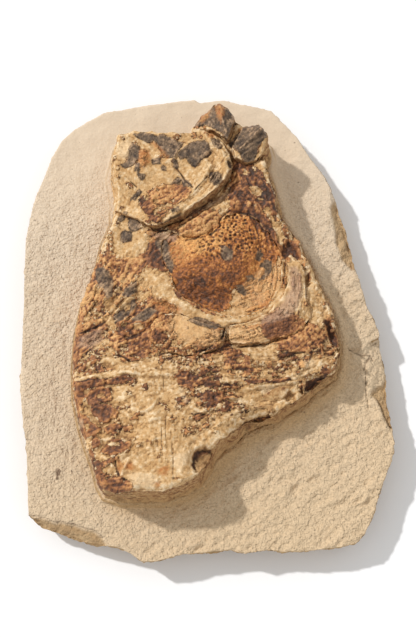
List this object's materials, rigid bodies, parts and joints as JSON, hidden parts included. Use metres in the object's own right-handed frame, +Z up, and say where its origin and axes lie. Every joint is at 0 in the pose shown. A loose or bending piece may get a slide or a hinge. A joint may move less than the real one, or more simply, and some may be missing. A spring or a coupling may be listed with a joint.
{
  "type": "fossil fish",
  "caption": "Head and shoulders of a fossil fish in raised relief, lying on its side on a pale broken limestone slab with a flat underside.",
  "frame": {"origin": "centre of the slab's flat underside, below the middle of its bounding box", "axes": "+Z up, out of the slab's worked face; +Y along the slab from the fish's broken body to its snout; +X to the right seen from above"},
  "size_m": [0.222, 0.286, 0.0611],
  "materials": {
    "limestone": "matte, finely stippled by tools",
    "body_bone": "mottled brown fossil bone and cream matrix, satin in places",
    "snout_bone": "cream matrix with dark fossil bone, rough",
    "gill_cover_bone": "ochre fossil bone with dark pits",
    "shoulder_bone": "smooth grey-brown fossil bone, low sheen",
    "throat_bone": "ochre and cream fossil bone",
    "spine_bone": "dark grey-brown fossil bone, low sheen"
  },
  "bodies": {
    "root": {"matrix_slab": "limestone", "fish_body": "body_bone", "snout_and_jaw": "snout_bone", "gill_cover": "gill_cover_bone", "shoulder_bone": "shoulder_bone", "throat_plate": "throat_bone", "front_spine": "spine_bone", "rear_spine": "spine_bone"}
  },
  "joints": []
}
